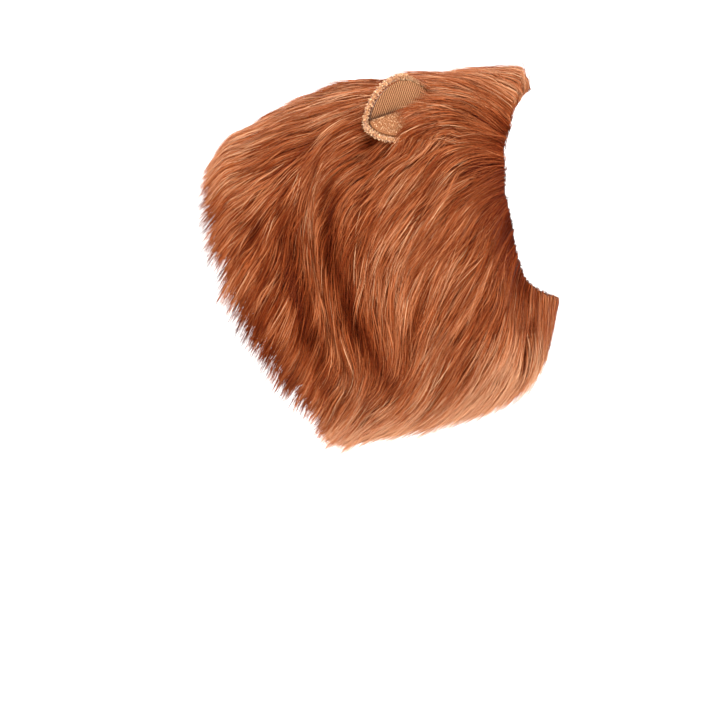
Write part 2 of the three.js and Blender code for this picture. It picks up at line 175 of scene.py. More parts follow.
# How far the rolled hair stands ahead of the face edge, in mm, by the angle from the brow.
EDGE_ROLL = table("degrees ahead", (0, 15), (15, 14), (30, 8), (45, 3), (60, 2), (140, 1), (180, 1))
# A hair's roll from its root out and back over the face edge: the share of its way round the edge,
# the shares of the roll's reach and of the pile's height, and both again for the brow's tuft.
ROLL = table(
    "share ahead lift tuft_ahead tuft_lift",
    (0, 0.0, 0.0, 0.4, 0.04),
    (0.2, 0.15, 0.34, 0.9, 0.22),
    (0.45, 0.6, 0.66, 1.02, 0.52),
    (0.7, 1.0, 0.9, 0.86, 0.84),
    (0.9, 0.66, 1.04, 0.45, 1.03),
)

# The backing's knit: stitch columns round the hood, the height of its middle under the origin in m
# and the height of a row of stitches in m. The elastic has its ribs across it.
KNIT_COLUMNS = 260
KNIT_CENTRE = 0.11
KNIT_ROW = 0.0021
ELASTIC_RIBS = 210
# The lining's knit: how far apart its ribs and its stitches are in m, and the ribs' slant.
LINING_RIB = 0.0018
LINING_STITCH = 0.0021
LINING_SLANT = (0.949, 0.316)

# Rows and columns of the meshes.
COLUMNS = 168
TURN = np.linspace(-math.pi, math.pi, COLUMNS, endpoint=False)
BACKING_ROWS = 40
UNDERCOAT_ROWS = 44
EAR_STEPS = 40
RIM_STEPS = 120
RIM_SIDES = 10
RIM_CORE = 0.62

# The hair: how many hairs and groups there are, with lengths in mm.
STRANDS = 79000
STRAND_POINTS = 6
STRAND_LENGTH = 60
HEM_STRANDS = 6500
LOCKS = 520
WISPS = 11000
EDGE_STRANDS = 7000
EDGE_WISPS = 800
EDGE_POINTS = 5
RIM_LOOPS = 2000
LINING_LOOPS = 1200
RIM_LOOP_RADIUS = 0.85
LINING_LOOP_RADIUS = 0.42
LIGHTEST_TONE = 0.92
# The wool: its share of the pile, how much of that is left at the face edge and at the hem, its
# steps down past the hem, and its steps ahead of the face edge and up from it.
WOOL_SHARE = 0.55
WOOL_AT_EDGE = 0.5
WOOL_AT_HEM = 0.42
WOOL_HEM = (0.05, 0.12, 0.18)
WOOL_LIPS = [(0.2, 0.22), (0.2, 0.12), (0.1, 0.04)]
# Under an ear, in mm: how clear of it points stay, and how far behind its root the wedge below it
# is filled up and ends.
EAR_CLEAR = 4
FILL_CLEAR = 5
FILL_RUN = (14, 34)
# How much hairs differ by lock, by wisp and one by one, and those of the face edge by wisp and
# one by one. The waves of a group start a golden turn after those of the one before it.
SPREADS = {"turn": (0.07, 0.085, 0.06), "height": (0.05, 0.07, 0.06), "tone": (0.06, 0.11, 0.11)}
EDGE_SPREADS = {"turn": (0.1, 0.08), "height": (0.06, 0.08), "tone": (0.09, 0.13)}
GOLDEN_TURN = 2.399
# The long hair is in pieces: over the crown, ahead of and behind a share of the run on the sides,
# and the same underneath.
CROWN_FROM = 0.67
UNDER_FROM = -0.2
CHEEKS_RUN = 0.35
BIB_RUN = 0.45
REGIONS = {"mane_crown": 0, "mane_cheeks": 1, "mane_cape": 2, "mane_bib": 3, "mane_under": 4}

# The room in mm, and its lamps: where each is and how large in m, and its power in W.
FLOOR_HEIGHT = -597
ROOM_MIDDLE = 1500
ROOM_RADIUS = 5200
ROOM_CORNER = 1200
ROOM_HEIGHT = 4600
ROOM_SIDES = 96
LAMPS = [
    ("key", (0.9, -1.7, 1.3), 1.3, 46),
    ("fill", (-1.7, -1.5, 0.5), 1.6, 22),
    ("top", (-0.1, 0.1, 1.9), 1.5, 26),
    ("back", (-0.6, 2.0, 1.0), 1.5, 30),
]
LAMP_AIM = Vector((-0.08, 0, -0.17))
WORLD_STRENGTH = 0.55
# The camera looks at its aim from the hood's right side, a little from above.
CAMERA_AIM = Vector((-0.095, 0, -0.262))
CAMERA_DISTANCE = 2.2
CAMERA_DEGREES = 5
LENS = 110
SENSOR = 36


def smoothstep(value, low, high):
    t = np.clip((value - low) / (high - low), 0, 1)
    return t * t * (3 - 2 * t)


def mix(start, end, share):
    return start + (end - start) * share


def bell(x, width):
    return np.exp(-((x / width) ** 2))


def unit(vectors):
    return vectors / np.maximum(np.linalg.norm(vectors, axis=-1, keepdims=True), 1e-9)


def dot(a, b):
    return np.sum(a * b, axis=-1)


def from_table(rows, key, column, place):
    keys = np.array([row[key] for row in rows])
    values = np.array([row[column] for row in rows])
    last = len(rows) - 1
    above = np.minimum(np.arange(last + 1) + 1, last)
    below = np.maximum(np.arange(last + 1) - 1, 0)
    slopes = (values[above] - values[below]) / (keys[above] - keys[below])
    i = np.clip(np.searchsorted(keys, place) - 1, 0, last - 1)
    span = keys[i + 1] - keys[i]
    t = (place - keys[i]) / span
    return (
        values[i] * (1 + 2 * t) * (1 - t) ** 2
        + values[i + 1] * t * t * (3 - 2 * t)
        + slopes[i] * span * t * (1 - t) ** 2
        - slopes[i + 1] * span * t * t * (1 - t)
    )


def around(angle, over, side, under):
    upper = np.maximum(np.cos(angle), 0) ** 2
    lower = np.maximum(-np.cos(angle), 0) ** 2
    return side + (over - side) * upper + (under - side) * lower


def crease_at(angle):
    return CREASE_ALONG - CREASE_SHIFT * np.cos(angle)


def hood_point(along, angle):
    def ring(column):
        return from_table(RINGS, "along", column, along)

    tilt = np.radians(ring("tilt"))
    half_height = mix(FACE_HEIGHT, HEM_HEIGHT, ring("tall")) / 2
    half_width = mix(FACE_WIDTH, HEM_WIDTH, ring("wide")) / 2
    side = np.sin(angle)
    power = np.where(np.cos(angle) < 0, JAW_TONGUE, 1)
    face_curve = 1 - np.maximum(1 - side * side, 0) ** power
    sweep = mix(FACE_SWEEP * face_curve, HEM_SWEEP * side * side, ring("swept"))
    down = half_height * (1 - np.cos(angle))
    crease = CREASE_DEPTH * bell(along - crease_at(angle), CREASE_SPREAD)
    drawn_in = 1 - smoothstep(along, CASING_ROW, GATHERS_END)
    gather = GATHER_DEPTH * np.sin(GATHERS * angle) * drawn_in
    squeeze = 1 - (crease * side * side - gather) / half_width
    return np.stack(
        [
            BROW_REACH - TOP_RUN * ring("top") + np.sin(tilt) * down - sweep,
            half_width * squeeze * side * (1 - EGG_SHARE * np.cos(angle)),
            -NAPE_DROP * ring("drop") - np.cos(tilt) * down,
        ],
        axis=-1,
    )


def hood_frame(along, angle):
    """The surface point, its two slopes and its outward normal, run on straight past the edges."""
    step = 1e-3
    held = np.clip(along, 0, 1)
    back = np.maximum(held - step, 0)
    on = np.minimum(held + step, 1)
    slope_along = (hood_point(on, angle) - hood_point(back, angle)) / (on - back)[..., None]
    slope_round = (hood_point(held, angle + step) - hood_point(held, angle - step)) / (2 * step)
    normal = unit(np.cross(slope_round, slope_along))
    point = hood_point(held, angle) + slope_along * (along - held)[..., None]
    return point, slope_along, slope_round, normal


def pile(along, angle):
    held = np.clip(along, 0, 1)
    edge = around(angle, EDGE_PILE["brow"], EDGE_PILE["cheek"], EDGE_PILE["jaw"])
    grown_in = mix(edge, 1, smoothstep(held, 0, GROW_RUN))
    thinned = mix(1, EDGE_PILE["hem"], smoothstep(held, HEM_THINS_FROM, 1))
    share = around(angle, PILE["top"], PILE["side"], PILE["under"]) * grown_in * thinned
    fold = FOLD_SHARE * CREASE_DEPTH * bell(held - crease_at(angle), FOLD_SPREAD) * np.sin(angle) ** 2
    return PILE_DEPTH * share - fold


def lie_of_hair(points):
    """The direction and the tone of the hair at some points, blended between the rows of FLOW."""
    x, z = points[:, 0], points[:, 2]
    total = np.zeros(len(points))
    back, down, tone = np.zeros(len(points)), np.zeros(len(points)), np.zeros(len(points))
    for row in FLOW:
        near = ((x - row["x"]) ** 2 + (z - row["z"]) ** 2) / FLOW_REACH**2
        weight = np.exp(-0.5 * near) + 1e-4 / (1 + near)
        lean = math.radians(row["lean"])
        total += weight
        back += weight * math.cos(lean)
        down += weight * math.sin(lean)
        tone += weight * row["tone"]
    way = np.stack([-back, np.zeros(len(points)), -down], axis=-1)
    return unit(way), tone / total


def valley_at(points):
    """How deep in a valley some points are, from 0 to 1."""
    deep = np.zeros(len(points))
    for row in VALLEYS:
        run = np.array([row["to_x"] - row["x"], row["to_z"] - row["z"]], dtype=float)
        gone = points[:, [0, 2]] - np.array([row["x"], row["z"]])
        share = np.clip(gone @ run / (run @ run), 0, 1)
        off = np.linalg.norm(gone - share[:, None] * run, axis=-1)
        deep = np.maximum(deep, row["deep"] * bell(off, row["wide"]))
    return deep


def run_along(along, angle, turned, distance):
    """Moves points on the hood's surface by a distance in the direction that the hair lies."""
    point, slope_along, slope_round, normal = hood_frame(along, angle)
    way, tone = lie_of_hair(point + normal * (FLOW_HEIGHT * PILE_DEPTH))
    aside = np.cross(normal, way)
    way = way * np.cos(turned)[:, None] + aside * np.sin(turned)[:, None]
    aa, rr = dot(slope_along, slope_along), dot(slope_round, slope_round)
    ar = dot(slope_along, slope_round)
    ba, br = dot(slope_along, way), dot(slope_round, way)
    area = np.maximum(aa * rr - ar * ar, 1)
    step_along = (rr * ba - ar * br) / area
    step_round = (aa * br - ar * ba) / area
    moved = slope_along * step_along[:, None] + slope_round * step_round[:, None]
    scale = distance / np.maximum(np.linalg.norm(moved, axis=-1), 0.15)
    return np.maximum(along + step_along * scale, 0), angle + step_round * scale, tone


def over_cloth(along, angle, share):
    """A point at a share of the pile over the cloth. Past the hem it hangs."""
    point, slope_along, _, normal = hood_frame(along, angle)
    height = BACKING_WALL + SEAT_GAP + share * pile(along, angle)
    past = np.maximum(along - 1, 0) * np.linalg.norm(slope_along, axis=-1)
    height = height * (1 - HANG_THINS * smoothstep(past, 0, HANG_RUN))
    placed = point + normal * height[:, None]
    placed[:, 2] -= HANG_DROPS * past
    return placed, normal


def held_at_hem(along, angle, turned, length, reach):
    """Shortens the hairs that would run further past the hem than their own reach."""
    _, slope_along, _, _ = hood_frame(np.ones_like(along), angle)
    end = 1 + reach / np.linalg.norm(slope_along, axis=-1)
    steps = 6
    u, a = along.copy(), angle.copy()
    kept = np.ones_like(along)
    for k in range(steps):
        following, a, _ = run_along(u, a, turned, length / steps)
        crossing = (following > end) & (kept == 1)
        part = np.clip((end - u) / np.maximum(following - u, 1e-6), 0, 1)
        kept = np.where(crossing, (k + part) / steps, kept)
        u = following
    return length * np.maximum(kept, SHORTEST)


def grow(along, angle, turned, length, low, high, droop, count):
    """Paths of hairs: they start at share low of the pile and rise to share high as they run,
    less in the valleys. The tone is given at each point, darkened in the valleys as painted shade."""
    places, normals, tones = [], [], []
    u, a = along.copy(), angle.copy()
    for k in range(count):
        t = k / (count - 1)
        rise = 1 - (1 - t) ** 2.2
        point, normal = over_cloth(u, a, mix(low, high, rise))
        valley = valley_at(point)
        point -= normal * (VALLEY_SINK * valley * PILE_DEPTH * min(2 * t + 0.3, 1))[:, None]
        point[:, 2] -= droop * t * t * np.maximum(0.35 - normal[:, 2], 0)
        places.append(point)
        normals.append(normal)
        u, a, tone = run_along(u, a, turned, length / (count - 1))
        # Painted shade: the tone is darkened in the valleys.
        tones.append(tone - VALLEY_SHADE * valley)
    return np.stack(places, axis=1), np.stack(normals, axis=1), np.stack(tones, axis=1)


class Groups:
    """Hairs in groups: each belongs to the one of some leading hairs that is nearest to it."""

    def __init__(self, points, number):
        self.leads = random.choice(len(points), number, replace=False)
        tree = KDTree(number)
        for i, lead in enumerate(self.leads):
            tree.insert(points[lead], i)
        tree.balance()
        found = [tree.find(place) for place in points]
        self.of = np.array([item[1] for item in found])
        self.off = np.array([item[2] for item in found])

    def normal(self, spread):
        return random.normal(0, spread, len(self.leads))[self.of]

    def uniform(self, low, high):
        return random.uniform(low, high, len(self.leads))[self.of]

    def gathered(self, paths, strength, power):
        """Pulls hairs towards the leading hair of their group, more so towards their tips."""
        t = np.linspace(0, 1, paths.shape[1])[None, :, None]
        pull = np.asarray(strength).reshape(-1, 1, 1) * t**power
        return paths + (paths[self.leads[self.of]] - paths) * pull

    def waved(self, paths, normals, size, turns):
        """Adds slow S-bends, alike within a group."""
        t = np.linspace(0, 1, paths.shape[1])[None, :]
        phase = (self.of * GOLDEN_TURN)[:, None] + random.normal(0, 0.35, (len(paths), 1))
        sideways = unit(np.cross(unit(np.gradient(paths, axis=1)), normals))
        amount = size[:, None] * t * np.sin(turns[:, None] * 2 * math.pi * t + phase)
        return paths + sideways * amount[..., None]


def varied(spreads, *groups):
    """Chance amounts that hairs share by group, with some of their own."""
    shared = sum(group.normal(spread) for group, spread in zip(groups, spreads))
    return shared + random.normal(0, spreads[-1], len(shared))


def ribbons(paths, normals, width, tone, roll):
    """Flat strips along the paths that end in a point, as vertices, quads, triangles and two
    attributes."""
    count, steps, _ = paths.shape
    t = np.linspace(0, 1, steps)
    tangent = unit(np.gradient(paths, axis=1))
    sideways = unit(np.cross(tangent, normals))
    lifted = unit(np.cross(sideways, tangent))
    across = sideways * np.cos(roll)[:, None, None] + lifted * np.sin(roll)[:, None, None]
    half = width[:, None] / 2 * (0.6 + 0.4 * np.sin(math.pi * np.minimum(t * 1.4, 1))) * (1 - 0.7 * t**3)
    half[:, -1] = 0
    sides = np.stack([paths + across * half[..., None], paths - across * half[..., None]], axis=2)
    vertices = sides.reshape(count, steps * 2, 3)[:, :-1].reshape(-1, 3)
    each = steps * 2 - 1
    base = (np.arange(count) * each)[:, None] + (np.arange(steps - 2) * 2)[None]
    quads = np.stack([base, base + 1, base + 3, base + 2], axis=-1).reshape(-1, 4)
    last = np.arange(count) * each + 2 * (steps - 2)
    triangles = np.stack([last, last + 1, last + 2], axis=-1)
    along = np.broadcast_to(np.repeat(t, 2)[None, :-1], (count, each)).reshape(-1)
    tone = np.broadcast_to(tone if np.ndim(tone) == 2 else tone[:, None], (count, steps))
    tones = np.repeat(tone, 2, axis=1)[:, :-1].reshape(-1)
    return vertices, quads, triangles, tones, along


def give(mesh, name, values):
    """Gives a mesh a number at each of its vertices."""
    mesh.attributes.new(name, "FLOAT", "POINT").data.foreach_set("value", values.astype(np.float32))


def mesh_object(name, material, vertices, quads, triangles=None, tones=None, along=None, smooth=True):
    mesh = bpy.data.meshes.new(name)
    vertices = np.asarray(vertices, dtype=np.float64) * MM
    quads = np.asarray(quads, dtype=np.int32)
    triangles = np.zeros((0, 3), dtype=np.int32) if triangles is None else triangles.astype(np.int32)
    corners = np.concatenate([quads.ravel(), triangles.ravel()])
    starts = np.concatenate([np.arange(len(quads)) * 4, quads.size + np.arange(len(triangles)) * 3])
    mesh.vertices.add(len(vertices))
    mesh.vertices.foreach_set("co", vertices.ravel())
    mesh.loops.add(len(corners))
    mesh.loops.foreach_set("vertex_index", corners)
    mesh.polygons.add(len(starts))
    mesh.polygons.foreach_set("loop_start", starts.astype(np.int32))
    mesh.polygons.foreach_set("use_smooth", np.full(len(starts), smooth))
    if tones is not None:
        give(mesh, "tone", tones)
        give(mesh, "along", along)
        nudge = 0.002 * (np.arange(len(vertices)) % 2)
        palette = np.stack([0.02 + 0.95 * np.clip(tones, 0, 1) + nudge, 0.02 + 0.96 * along], axis=-1)
        layer = mesh.uv_layers.new(name="OFBake")
        layer.data.foreach_set("uv", palette[corners].astype(np.float32).ravel())
    mesh.update(calc_edges=True)
    mesh.materials.append(material)
    piece = bpy.data.objects.new(name, mesh)
    bpy.context.scene.collection.objects.link(piece)
    return piece


def belongs(piece, slot, *nodes):
    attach(piece, "root")
    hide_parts(*nodes)


def srgb(*levels):
    """A colour from its levels of 0 to 255."""
    shares = [level / 255 for level in levels]
    return tuple(s / 12.92 if s < 0.04 else ((s + 0.055) / 1.055) ** 2.4 for s in shares) + (1,)


def new_material(name, roughness, specular, sheen=0.0):
    material = bpy.data.materials.new(name)
    material.use_nodes = True
    shader = material.node_tree.nodes["Principled BSDF"]
    shader.inputs["Roughness"].default_value = roughness
    shader.inputs["Specular IOR Level"].default_value = specular
    shader.inputs["Sheen Weight"].default_value = sheen
    return material, material.node_tree, shader


class Pattern:
    """A number that a material works out at each place. It adds and multiplies as numbers do."""

    def __init__(self, tree, socket):
        self.tree = tree
        self.socket = socket

    def through(self, operation, *others):
        node = self.tree.nodes.new("ShaderNodeMath")
        node.operation = operation
        for socket, value in zip(node.inputs, (self, *others)):
            if isinstance(value, Pattern):
                self.tree.links.new(value.socket, socket)
            else:
                socket.default_value = value
        return Pattern(self.tree, node.outputs[0])

    def __add__(self, other):
        return self.through("ADD", other)

    def __mul__(self, other):
        return self.through("MULTIPLY", other)

    def wave(self, turns):
        """Goes from -1 to 1 and back for each step of 1 in the number times turns."""
        return (self * (2 * math.pi * turns)).through("SINE")

    def colored(self, *stops):
        """Colours along the number, from stops of a place and a colour."""
        node = self.tree.nodes.new("ShaderNodeValToRGB")
        elements = node.color_ramp.elements
        while len(elements) < len(stops):
            elements.new(0.5)
        for element, (place, color) in zip(elements, stops):
            element.position = place
            element.color = color
        self.tree.links.new(self.socket, node.inputs["Fac"])
        return node.outputs["Color"]


def attribute(tree, name):
    node = tree.nodes.new("ShaderNodeAttribute")
    node.attribute_name = name
    return Pattern(tree, node.outputs["Fac"])


def noise(tree, scale, detail=2.0):
    """Fine grain on the object, from 0 to 1."""
    place = tree.nodes.new("ShaderNodeTexCoord")
    grain = tree.nodes.new("ShaderNodeTexNoise")
    grain.inputs["Scale"].default_value = scale
    grain.inputs["Detail"].default_value = detail
    tree.links.new(place.outputs["Object"], grain.inputs["Vector"])
    return Pattern(tree, grain.outputs["Fac"])


def coordinates(tree):
    place = tree.nodes.new("ShaderNodeTexCoord")
    parts = tree.nodes.new("ShaderNodeSeparateXYZ")
    tree.links.new(place.outputs["Object"], parts.inputs[0])
    return [Pattern(tree, parts.outputs[axis]) for axis in "XYZ"]


def turn_round(tree):
    """The angle round the middle of the hood."""
    _, y, z = coordinates(tree)
    return y.through("ARCTAN2", z + KNIT_CENTRE)


def blended(tree, kind, factor, first, second):
    node = tree.nodes.new("ShaderNodeMix")
    node.data_type = "RGBA"
    node.blend_type = kind
    for socket, value in (("Factor", factor), ("A", first), ("B", second)):
        if isinstance(value, (float, tuple)):
            node.inputs[socket].default_value = value
        else:
            tree.links.new(value, node.inputs[socket])
    return node.outputs["Result"]


def surfaced(material, colors, height, depth, smooth, rough):
    """Colours a material, and gives it bump and roughness from one pattern: its low places are
    rough, its high ones smoother."""
    tree = material.node_tree
    shader = tree.nodes["Principled BSDF"]
    bump = tree.nodes.new("ShaderNodeBump")
    bump.inputs["Distance"].default_value = depth
    tree.links.new(colors, shader.inputs["Base Color"])
    tree.links.new(height.socket, bump.inputs["Height"])
    tree.links.new(bump.outputs["Normal"], shader.inputs["Normal"])
    roughness = height * (smooth - rough) + rough
    tree.links.new(roughness.socket, shader.inputs["Roughness"])
    return material


def hair_material():
    """Rust-brown fibre, darker at the root: its tone and its place along the hair come with it."""
    material, tree, shader = new_material("rust_fur", 0.48, 0.14)
    shader.inputs["Specular Tint"].default_value = (1.0, 0.42, 0.16, 1)
    tones = attribute(tree, "tone").colored(
        (0.0, srgb(68, 16, 4)),
        (0.25, srgb(106, 38, 13)),
        (0.5, srgb(148, 73, 37)),
        (0.75, srgb(186, 114, 74)),
        (1.0, srgb(226, 176, 136)),
    )
    depth = attribute(tree, "along").colored(
        (0.0, (0.4, 0.32, 0.26, 1)), (0.45, (0.9, 0.87, 0.85, 1)), (1.0, (1, 1, 1, 1))
    )
    colors = blended(tree, "MULTIPLY", 1.0, tones, depth)
    return surfaced(material, colors, noise(tree, 1400), 0.00015, smooth=0.4, rough=0.58)


def undercoat_shade_material():
    """The dense short wool under the long hair, matt: it stands for the deep hair, and its dark colour is
    painted shade.
    """
    material, tree, _ = new_material("shaded_undercoat", 0.95, 0.08)
    grain = noise(tree, 520, 4.0)
    # Painted shade: both stops are near-black browns, darker than the hair, for the shade deep in the
    # pile.
    colors = grain.colored((0.3, srgb(48, 12, 3)), (0.7, srgb(92, 32, 10)))
    return surfaced(material, colors, grain, 0.002, smooth=0.85, rough=1.0)


def knit_material():
    """Weft knit: columns of small V stitches that run from the face edge to the hem."""
    material, tree, _ = new_material("brown_knit", 0.9, 0.2, 0.2)
    x, _, _ = coordinates(tree)
    column = turn_round(tree).wave(KNIT_COLUMNS / 4 / math.pi).through("ABSOLUTE")
    row = x * (1 / KNIT_ROW) + column * 0.42
    stitch = row.wave(1) * 0.5 + 0.5
    yarn = stitch * column.through("POWER", 0.6)
    height = noise(tree, 700) * 0.35 + yarn * 0.75
    colors = height.colored((0.05, srgb(70, 40, 22)), (0.5, srgb(126, 84, 54)), (1.0, srgb(166, 122, 86)))
    return surfaced(material, colors, height, 0.0007, smooth=0.82, rough=1.0)


def elastic_material():
    """Narrow ribs across the flat casing, with a little fluff."""
    material, tree, _ = new_material("elastic", 0.85, 0.25, 0.15)
    rib = turn_round(tree).wave(ELASTIC_RIBS / 2 / math.pi)
    height = rib * 0.35 + (noise(tree, 900) * 0.3 + 0.35)
    colors = height.colored((0.1, srgb(58, 28, 14)), (0.6, srgb(102, 58, 34)), (1.0, srgb(138, 88, 56)))
    return surfaced(material, colors, height, 0.0006, smooth=0.75, rough=0.95)


def net(rows, columns, closed=False):
    """Quads between rings of points. Where it is closed, the last ring joins the first."""
    i = np.arange(rows if closed else rows - 1)[:, None]
    j = np.arange(columns)[None]
    following = (i + 1) % rows
    k = (j + 1) % columns
    corners = [i * columns + j, i * columns + k, following * columns + k, following * columns + j]
    return np.stack(corners, axis=-1).reshape(-1, 4)


def facing_out(vertices, quads):
    a, b, c, d = (vertices[quads[:, n]] for n in range(4))
    volume = dot(a, np.cross(b, c)).sum() + dot(a, np.cross(c, d)).sum()
    return quads if volume > 0 else quads[:, ::-1]


def closed_rings(rings):
    """Vertices and quads of a closed body: each ring joins the next, and the last the first."""
    rings = np.asarray(rings)
    vertices = rings.reshape(-1, 3)
    return vertices, facing_out(vertices, net(*rings.shape[:2], closed=True))


# The knitted tube, its casing and the undercoat.
def cloth_ring(along, height):
    point, _, _, normal = hood_frame(np.full(COLUMNS, along), TURN)
    return point + normal * height


def backing():
    stations = np.linspace(0, 1, BACKING_ROWS)
    outer = [cloth_ring(along, BACKING_WALL) for along in stations]
    inner = [cloth_ring(along, 0.0) for along in stations[::-1]]
    piece = mesh_object("knit_backing", knit_material(), *closed_rings(outer + inner))
    belongs(piece, "backing_knit", "backing_hood")
    return piece


def casing():
    edge = cloth_ring(0.0, 0.0)
    way = cloth_ring(CASING_ROW, 0.0) - edge
    length = np.linalg.norm(way, axis=-1, keepdims=True)
    start = hood_frame(np.zeros(COLUMNS), TURN)[3]
    end = hood_frame(np.full(COLUMNS, CASING_ROW), TURN)[3]

    def ring(distance, depth):
        share = distance / length
        return edge + way * share - unit(mix(start, end, share)) * depth

    near, far = SEAT_GAP, SEAT_GAP + CASING_WALL
    rings = [ring(1, far), ring(1 + CASING_WIDTH, far), ring(1 + CASING_WIDTH, near), ring(1, near)]
    piece = mesh_object("elastic_casing", elastic_material(), *closed_rings(rings), smooth=False)
    belongs(piece, "casing_elastic", "face_elastic_casing")
    return piece


def shaded_undercoat(ear_maps):
    """Wool from the cloth to a share of the pile, thinner at the face edge and at the hem, dark as painted
    shade.
    """
    foot = BACKING_WALL + SEAT_GAP
    stations = np.linspace(0, 1, UNDERCOAT_ROWS)
    inner = [cloth_ring(along, foot) for along in stations[::2]]
    full = np.full(COLUMNS, 1.0)
    outer = []
    for along in stations[::-1]:
        share = WOOL_SHARE * mix(WOOL_AT_EDGE, 1, smoothstep(along * TOP_RUN, 0, 30))
        share = share * mix(1, WOOL_AT_HEM, smoothstep(along, 0.88, 1))
        place, _ = over_cloth(full * along, TURN, full * share)
        outer.append(under_ears(place, ear_maps))
    hem = [over_cloth(full * 1.02, TURN, full * share)[0] for share in WOOL_HEM]
    point, slope_along, _, normal = hood_frame(np.zeros(COLUMNS), TURN)
    forward = -unit(slope_along)
    lips = []
    for ahead, up in WOOL_LIPS:
        height = foot + up * pile(np.zeros(COLUMNS), TURN)
        lips.append(point + forward * (ahead * edge_roll(TURN))[:, None] + normal * height[:, None])
    piece = mesh_object("mane_shaded_undercoat", undercoat_shade_material(), *closed_rings(inner + hem + outer + lips))
    belongs(piece, "mane_fur", "mane_fur")
    return piece


# The ears, on the same middle surface as the solids have.
def ear_frame(side):
    angle = side * math.radians(EAR_DEGREES)
    point, _, _, normal = hood_frame(np.array([EAR_ALONG]), np.array([angle]))
    outward = normal[0]
    root = point[0] + outward * (BACKING_WALL + 2 * SEAT_GAP)
    back = unit(np.array([-EAR_SWEEP["back"], EAR_SWEEP["aside"] * side, -EAR_SWEEP["down"]]))
    across = unit(np.cross(back, outward))
    return root, outward, back, across * (-1 if across[2] < 0 else 1)


def ear_point(side, at, over):
    root, outward, back, across = ear_frame(side)
    rounded = at * (1 - EAR_TAPER + EAR_TAPER * np.sqrt(1 - 0.96 * over * over))
    half_width = EAR_WIDTH / 2 * from_table(EAR_OUTLINE, "at", "wide", at)
    bent = 1 - (1 - rounded) ** 3
    away = np.maximum(rounded - 0.12, 0) * EAR_LENGTH
    opening = smoothstep(at, 0, 0.6)
    above = np.maximum(over - EAR_CREASE, 0) / (1 - EAR_CREASE)
    below = np.maximum(EAR_CREASE - over, 0) / (1 + EAR_CREASE)
    cup = mix(0.4, 1, opening) * (EAR_CUP * above**1.5 + EAR_LIP * below**1.5)
    pinch = EAR_PINCH * opening * bell(over - EAR_CREASE, 0.2)
    return (
        root
        + outward * ((EAR_RISE + cup - pinch) * bent)[..., None]
        + back * away[..., None]
        + across * (half_width * over)[..., None]
    )


def across_ear(share):
    return np.sin(math.pi * (share - 0.5))


def ear_normal(side, at, over):
    step = 1e-3
    across = ear_point(side, at, np.minimum(over + step, 1))
    across = across - ear_point(side, at, np.maximum(over - step, -1))
    length = ear_point(side, np.minimum(at + step, 1), over)
    length = length - ear_point(side, np.maximum(at - step, 0), over)
    return unit(np.cross(across, length)) * -side


def ear_shell(side, low, high):
    """A layer of an ear between two heights over its middle surface, and where each vertex is
    across it."""
    shares = np.linspace(0, 1, EAR_STEPS + 1)
    at, over = np.meshgrid(shares, across_ear(shares), indexing="ij")
    middle = ear_point(side, at, over)
    normal = ear_normal(side, at, over)
    bottom, top = middle + normal * low, middle + normal * high
    rings = np.concatenate([bottom, top[:, ::-1]], axis=1)
    count = rings.shape[1]
    n = np.arange(EAR_STEPS)
    caps = []
    for start in (0, EAR_STEPS * count):
        first, last = start + n, start + count - 1 - n
        cap = np.stack([first, first + 1, last - 1, last], axis=-1)
        caps.append(cap if start else cap[:, ::-1])
    vertices = rings.reshape(-1, 3)
    quads = facing_out(vertices, np.concatenate([net(EAR_STEPS + 1, count), *caps]))
    return vertices, quads, np.concatenate([over, over[:, ::-1]], axis=1).reshape(-1)


def ear_edge(side, count):
    """The line of the plush edge, from one side of the root round the tip to the other."""
    root_start = 0.3
    t = np.linspace(0, 3, count)
    at = np.where(t < 1, mix(root_start, 1, t), np.where(t < 2, 1, mix(1, root_start, t - 2)))
    over = np.where(t < 1, -1, np.where(t < 2, across_ear(t - 1), 1)).astype(float)
    line = ear_point(side, at, over)
    normal = ear_normal(side, at, over)
    tangent = unit(np.gradient(line, axis=0))
    outward = unit(np.cross(tangent, normal))
    centre = ear_point(side, np.array([0.6]), np.array([0.0]))[0]
    outward *= np.sign(dot(outward, line - centre))[:, None]
    line = line + outward * (EAR_RIM_RADIUS + EAR_RIM_GAP)
    smoothed = line.copy()
    for _ in range(3):
        smoothed[1:-1] = (smoothed[:-2] + smoothed[1:-1] * 2 + smoothed[2:]) / 4
    return smoothed, outward, normal


def plush_material(name, color, shade):
    material, tree, _ = new_material(name, 0.9, 0.2, 0.4)
    grain = noise(tree, 420, 3.0)
    return surfaced(material, grain.colored((0.34, shade), (0.62, color)), grain, 0.0016, 0.8, 1.0)


def loops_on(places, outward, sideways, size):
    """Small loops of plush yarn that stand on some places and lean to one side, as strips."""
    count = len(places)
    turn = np.linspace(0, 1.25 * math.pi, 6)[None]
    spin = random.normal(0, 0.5, count)
    flat = sideways * np.cos(spin)[:, None] + unit(np.cross(outward, sideways)) * np.sin(spin)[:, None]
    radius = size * random.uniform(0.7, 1.4, count)
    paths = (
        places[:, None]
        + outward[:, None] * (radius[:, None] * (1 - np.cos(turn)))[..., None]
        + flat[:, None] * (radius[:, None] * np.sin(turn))[..., None]
    )
    normals = np.broadcast_to(np.cross(flat, outward)[:, None], paths.shape)
    width = random.uniform(0.6, 1.1, count)
    tone = random.uniform(0.0, 1.0, count)
    return ribbons(paths, normals, width, tone, random.uniform(1.0, 2.1, count))


def loop_material():
    material, tree, _ = new_material("plush_loops", 0.85, 0.2, 0.05)
    stops = [(0.0, srgb(118, 64, 30)), (0.4, srgb(206, 148, 102)), (1.0, srgb(254, 214, 168))]
    colors = attribute(tree, "tone").colored(*stops)
    return surfaced(material, colors, noise(tree, 1600), 0.0002, smooth=0.75, rough=0.95)


